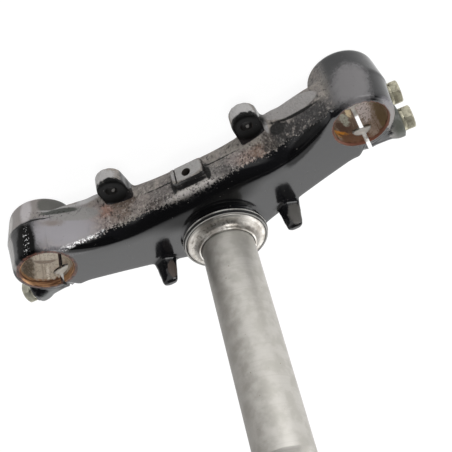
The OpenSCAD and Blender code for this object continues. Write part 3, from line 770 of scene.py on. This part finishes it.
def machine_clamp(piece, side, turn, bare):
    """Cuts one clamp's bore with its two chamfers, its slit and its bolt holes."""
    cut(piece, rod(BORE_R, (0, 0, -BARREL_H - OVER), (0, 0, OVER), turn), bare[side])
    wide = BORE_R + CHAMFER + CHAMFER_OVER
    cut(piece, rod(BORE_R, (0, 0, -CHAMFER), (0, 0, CHAMFER_OVER), turn, top_radius=wide), bare[side])
    cut(piece, rod(wide, (0, 0, -BARREL_H - CHAMFER_OVER), (0, 0, -BARREL_H + CHAMFER), turn,
                   top_radius=BORE_R), bare[side])
    cut(piece, block((-SLIT_INSET - SLIT_W / 2, BORE_R - SLIT_START, -BARREL_H - OVER),
                     (-SLIT_INSET + SLIT_W / 2, SLIT_END_Y, OVER), turn), bare["right"])
    for level in LEVELS:
        bolt = at_bolt(side, level)
        cut(piece, rod(BOLT_HOLE_R, (0, 0, -BOLT_HOLE_R - BOLT_HOLE_PAST), (0, 0, EAR_REACH + OVER),
                       bolt), bare["left"])
        cut(piece, rod(BOLT_R, (0, 0, EAR_REACH - BOLT_LEN - OVER), (0, 0, EAR_REACH - OVER), bolt),
            bare["left"])


def machine_tab(piece, bare):
    """Cuts the middle tab's hole and the groove that sets off its end strip."""
    cut(piece, rod(TAB_HOLE_R, (0, TAB_Y - OVER, TAB_HOLE_Z),
                   (0, TAB_Y + TAB_HOLE_DEPTH, TAB_HOLE_Z)), bare["right"])
    cut(piece, block((TAB_GROOVE_X, TAB_Y - OVER, TAB_FOOT_Z - OVER),
                     (TAB_GROOVE_X + TAB_GROOVE_W, TAB_Y + TAB_GROOVE_DEEP, TAB_TOP_Z + OVER)))


def cut_thread(piece, pitch, steel):
    """Cuts the nut thread of this pitch in mm: a V groove screwed up the stem's end."""
    # The V is a triangle, whose centre lies two thirds of its depth from its point
    deep = THREAD_DEPTH * pitch
    bpy.ops.object.select_all(action="DESELECT")
    bpy.ops.mesh.primitive_circle_add(vertices=3, radius=deep * MM * 2 / 3, location=(0, 0, 0))
    groove = bpy.context.object
    start = Matrix.Translation(Vector((THREAD_R - deep / 3, 0, THREAD_Z0 + pitch)) * MM)
    upright = Matrix.Rotation(math.radians(90), 4, "X") @ Matrix.Rotation(math.radians(90), 4, "Z")
    groove.matrix_world = start @ upright @ Matrix.Diagonal((THREAD_WIDTH, 1, 1, 1))
    settle(groove)
    turns = round((THREAD_Z1 - THREAD_Z0) / pitch) + 1
    modify(groove, "SCREW", axis="Z", angle=math.radians(360), screw_offset=pitch * MM,
           iterations=turns, steps=THREAD_STEPS, render_steps=THREAD_STEPS, use_merge_vertices=False)
    only(groove)
    bpy.ops.object.mode_set(mode="EDIT")
    bpy.ops.mesh.select_all(action="SELECT")
    bpy.ops.mesh.fill_holes(sides=3)
    bpy.ops.mesh.normals_make_consistent(inside=False)
    bpy.ops.object.mode_set(mode="OBJECT")
    cut(piece, groove, steel)


class CLAMP_OT_casting(bpy.types.Operator):
    """Makes the painted yoke: a soft cast skin, with its machined bores, cuts and holes"""
    bl_idname = "triple_clamp.casting"
    bl_label = "Yoke casting"

    def execute(self, context):
        look = context.scene.casting_look
        piece = copy_of("lower_yoke", "yoke_casting")
        merge(piece, *casting_plugs())
        modify(piece, "REMESH", mode="VOXEL", voxel_size=look.voxel, use_smooth_shade=True)
        modify(piece, "SMOOTH", factor=0.5, iterations=look.melt)
        coat(piece, worn_enamel(look))
        # The left bore's pale colours are partly painted light for its shaded inside
        bare = {"left": bored_iron("left", "#dfd7ca", "#b5a99b", "#b98d66", 3.5, 0.5),
                "right": bored_iron("right", "#b3a192", "#7d6654", "#6c4232", 0.8, 0.3)}
        cut(piece, rod(STEM_R, (0, 0, -BARREL_H - OVER), (0, 0, SEAT_H + OVER)), bare["left"])
        for side in SIDES:
            machine_clamp(piece, side, at_clamp(side), bare)
            x = SIDES[side] * BOSS_X
            cut(piece, rod(BOSS_HOLE_R, *((x, BOSS_Y, z) for z in BOSS_CUT_Z)), bare["right"])
        machine_tab(piece, bare)
        shade(piece)
        finish_piece(piece, "black_paint", "lower_yoke")
        return {"FINISHED"}


class CLAMP_OT_stem(bpy.types.Operator):
    """Makes the steering stem, with a real thread cut into its upper end"""
    bl_idname = "triple_clamp.stem"
    bl_label = "Steering stem"

    def execute(self, context):
        look = context.scene.stem_look
        piece = copy_of("steering_stem", "stem_tube")
        soften(piece, look.edge)
        steel = bright_steel("ground_steel", "#c0bdb7", "#b4b1aa", 0.40, metallic=0.6, dull=0.75)
        coat(piece, steel)
        cut_thread(piece, look.thread_pitch / MM, steel)
        shade(piece)
        finish_piece(piece, "bare_stem", "steering_stem")
        return {"FINISHED"}


class CLAMP_OT_bearing(bpy.types.Operator):
    """Makes the lower race, its rubber seal and the washer under it"""
    bl_idname = "triple_clamp.bearing"
    bl_label = "Lower race and seal"

    def execute(self, context):
        race = bright_steel("ground_race_steel", "#dcd9d3", "#a19b93", 0.28, metallic=0.85,
                            dull=0.45, track=True)
        rubber = moulded_rubber()
        plate = bright_steel("pressed_steel", "#d8d6d1", "#85827d", 0.4, metallic=0.6)
        finishes = {"bearing_race": ("race_steel", race), "dust_seal": ("seal_rubber", rubber),
                    "seal_washer": ("seal_plate", plate)}
        for node, (slot, material) in finishes.items():
            piece = copy_of(node, node + "_turned")
            soften(piece, RACE_EDGE)
            coat(piece, material)
            finish_piece(piece, slot, node)
        return {"FINISHED"}


class CLAMP_OT_fasteners(bpy.types.Operator):
    """Makes the four pinch bolts and their spring washers"""
    bl_idname = "triple_clamp.fasteners"
    bl_label = "Pinch bolts and washers"

    def execute(self, context):
        look = context.scene.stem_look
        zinc = yellow_zinc()
        for side in SIDES:
            for level in LEVELS:
                for node in ("clamp_bolt_", "spring_washer_"):
                    node += side + "_" + level
                    piece = copy_of(node, node + "_plated")
                    soften(piece, look.edge * BOLT_EDGE_SHARE)
                    coat(piece, zinc)
                    finish_piece(piece, "bolt_zinc", node)
        return {"FINISHED"}


# Stage

def sky_patch(tree, way, up, azimuth, half_width, low, high, soft):
    """Mask of a patch of the room's wall, its place in degrees."""
    rad = math.radians
    turned = add(tree, "ShaderNodeMapping", {"Vector": way, "Rotation": (0, 0, rad(-azimuth))})
    axes = split(tree, turned.outputs["Vector"])
    off = calc(tree, "ABSOLUTE", calc(tree, "ARCTAN2", axes["Y"], axes["X"]))
    return times(tree, between(tree, off, rad(half_width + soft), rad(half_width - soft)),
                 between(tree, up, rad(low - soft), rad(low + soft)),
                 between(tree, up, rad(high + soft), rad(high - soft)))


def pale_room(ambient):
    """The room: pale all round, a soft box behind the object, and a dark gap above the camera."""
    world = bpy.data.worlds.new("room")
    world.use_nodes = True
    tree = world.node_tree
    tree.nodes.clear()
    way = add(tree, "ShaderNodeTexCoord").outputs["Generated"]
    up = calc(tree, "ARCSINE", split(tree, way)["Z"])
    level = blend(tree, ambient, SOFT_BOX, sky_patch(tree, way, up, *SOFT_BOX_PLACE))
    overhead = between(tree, up, *(math.radians(angle) for angle in DARK_ABOVE))
    gap = sky_patch(tree, way, up, *DARK_PLACE)
    level = blend(tree, level, DARK, calc(tree, "MAXIMUM", gap, overhead))
    # The camera itself sees plain white above the floor
    level = blend(tree, level, 1.0, add(tree, "ShaderNodeLightPath").outputs["Is Camera Ray"])
    sky = add(tree, "ShaderNodeBackground", {"Color": (1, 1, 1), "Strength": level})
    add(tree, "ShaderNodeOutputWorld", {"Surface": sky.outputs["Background"]})
    return world


def soft_lamp(name, place, size, power):
    """A rectangular lamp that faces the object."""
    lamp = bpy.data.lights.new(name, "AREA")
    lamp.shape, lamp.energy = "RECTANGLE", power
    lamp.size, lamp.size_y = size
    holder = bpy.data.objects.new(name, lamp)
    bpy.context.scene.collection.objects.link(holder)
    holder.location = place
    holder.rotation_euler = (-holder.location).to_track_quat("-Z", "Y").to_euler()
    return holder


class CLAMP_OT_stage(bpy.types.Operator):
    """Makes the pale floor, the room light, the lamps and the camera"""
    bl_idname = "triple_clamp.stage"
    bl_label = "Stage and camera"

    def execute(self, context):
        look = context.scene.stage_look
        scene = context.scene
        scene.view_settings.view_transform = "Standard"
        bpy.ops.object.select_all(action="DESELECT")
        bpy.ops.mesh.primitive_plane_add(size=FLOOR_SIZE, location=(0, 0, cad_box[0].z - FLOOR_GAP))
        floor = bpy.context.object
        floor.name = "floor"
        settle(floor)
        coat(floor, matt_floor(look))
        scene.world = pale_room(look.ambient)

        away = Vector((math.cos(KEY_AZIMUTH), math.sin(KEY_AZIMUTH), math.tan(KEY_ELEVATION)))
        soft_lamp("key_lamp", away.normalized() * KEY_AWAY, KEY_SIZE, look.key)
        # A second soft lamp above the camera, kept out of the gloss, opens up the fork bores
        fill = soft_lamp("fill_lamp", FILL_AT, FILL_SIZE, look.fill)
        fill.visible_glossy = False

        camera = bpy.data.cameras.new("camera")
        camera.lens, camera.sensor_width, camera.clip_start = CAMERA_LENS, SENSOR, CLIP_START
        view = bpy.data.objects.new("camera", camera)
        scene.collection.objects.link(view)
        right, down, ahead = (Vector(v) for v in (CAMERA_RIGHT, CAMERA_DOWN, CAMERA_AHEAD))
        turn = Matrix((right, -down, -ahead)).transposed().to_4x4()
        view.matrix_world = Matrix.Translation(CAMERA_AT) @ turn
        scene.camera = view
        return {"FINISHED"}


class CLAMP_PT_panel(bpy.types.Panel):
    """Lists the pieces of the triple clamp"""
    bl_idname = "CLAMP_PT_panel"
    bl_label = "Triple clamp"
    bl_space_type = "VIEW_3D"
    bl_region_type = "UI"
    bl_category = "Triple clamp"

    def draw(self, context):
        scene = context.scene
        for heading, look, pieces in (
                ("Casting", scene.casting_look, (CLAMP_OT_casting,)),
                ("Turned parts", scene.stem_look,
                 (CLAMP_OT_stem, CLAMP_OT_bearing, CLAMP_OT_fasteners)),
                ("Stage", scene.stage_look, (CLAMP_OT_stage,))):
            box = self.layout.box()
            box.label(text=heading)
            for name in look.bl_rna.properties.keys():
                if name not in ("rna_type", "name"):
                    box.prop(look, name)
            for piece in pieces:
                box.operator(piece.bl_idname)


CLASSES = (CastingLook, StemLook, StageLook, CLAMP_OT_casting, CLAMP_OT_stem, CLAMP_OT_bearing,
           CLAMP_OT_fasteners, CLAMP_OT_stage, CLAMP_PT_panel)


def register():
    for cls in CLASSES:
        bpy.utils.register_class(cls)
    bpy.types.Scene.casting_look = bpy.props.PointerProperty(type=CastingLook)
    bpy.types.Scene.stem_look = bpy.props.PointerProperty(type=StemLook)
    bpy.types.Scene.stage_look = bpy.props.PointerProperty(type=StageLook)


def unregister():
    del bpy.types.Scene.stage_look
    del bpy.types.Scene.stem_look
    del bpy.types.Scene.casting_look
    for cls in reversed(CLASSES):
        bpy.utils.unregister_class(cls)


def main():
    register()
    bpy.ops.triple_clamp.casting()
    bpy.ops.triple_clamp.stem()
    bpy.ops.triple_clamp.bearing()
    bpy.ops.triple_clamp.fasteners()
    bpy.ops.triple_clamp.stage()


if __name__ == "__main__":
    main()
